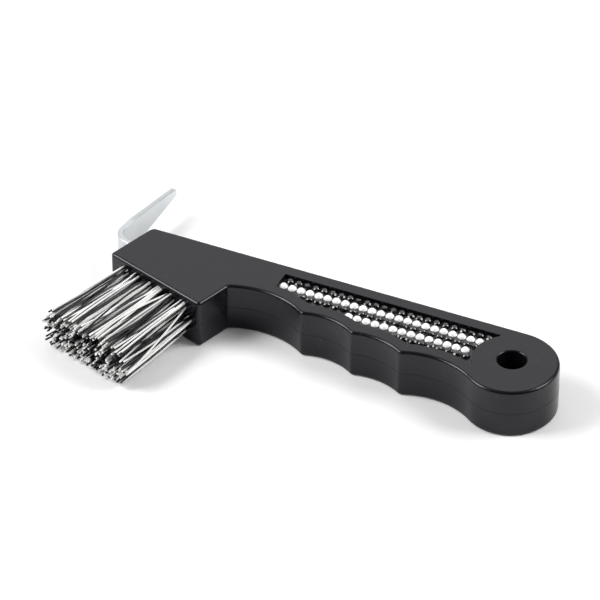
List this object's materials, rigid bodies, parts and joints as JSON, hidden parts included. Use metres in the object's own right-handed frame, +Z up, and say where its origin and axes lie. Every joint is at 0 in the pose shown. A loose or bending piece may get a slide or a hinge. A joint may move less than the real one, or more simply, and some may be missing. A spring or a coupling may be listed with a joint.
{
  "type": "hoof pick",
  "caption": "Hoof pick with a finger-grip plastic handle, a hooked steel pick and a stiff brush at its head, an inlaid stone band and a hanging hole.",
  "frame": {"origin": "on the hanging hole's axis, at the flat face the tool lies on", "axes": "+X along the straight back edge from the tail to the head, +Y towards the finger hollows and the brush, +Z up through the handle to the face with the stones"},
  "size_m": [0.1761, 0.103, 0.0184],
  "materials": {
    "black_plastic": "satin injection-moulded",
    "zinc_steel": "bright zinc plated",
    "anchor_wire": "drawn flat wire",
    "carrier_film": "self-adhesive film",
    "black_crystal": "faceted, polished",
    "clear_crystal": "faceted, foil backed",
    "nylon_bristle": "black and white nylon filaments, cut flat"
  },
  "bodies": {
    "root": {"handle": "black_plastic", "pick_blade": "zinc_steel", "tuft_anchors": "anchor_wire", "crystal_carrier": "carrier_film", "crystals_black_back": "black_crystal", "crystals_clear_back": "clear_crystal", "crystals_black_middle": "black_crystal", "crystals_clear_front": "clear_crystal", "crystals_black_front": "black_crystal", "bristle_tuft_r1_c1": "nylon_bristle", "bristle_tuft_r1_c2": "nylon_bristle", "bristle_tuft_r1_c3": "nylon_bristle", "bristle_tuft_r1_c4": "nylon_bristle", "bristle_tuft_r1_c5": "nylon_bristle", "bristle_tuft_r1_c6": "nylon_bristle", "bristle_tuft_r2_c1": "nylon_bristle", "bristle_tuft_r2_c2": "nylon_bristle", "bristle_tuft_r2_c3": "nylon_bristle", "bristle_tuft_r2_c4": "nylon_bristle", "bristle_tuft_r2_c5": "nylon_bristle", "bristle_tuft_r2_c6": "nylon_bristle", "bristle_tuft_r2_c7": "nylon_bristle", "bristle_tuft_r3_c1": "nylon_bristle", "bristle_tuft_r3_c2": "nylon_bristle", "bristle_tuft_r3_c3": "nylon_bristle", "bristle_tuft_r3_c4": "nylon_bristle", "bristle_tuft_r3_c5": "nylon_bristle", "bristle_tuft_r3_c6": "nylon_bristle"}
  },
  "joints": []
}
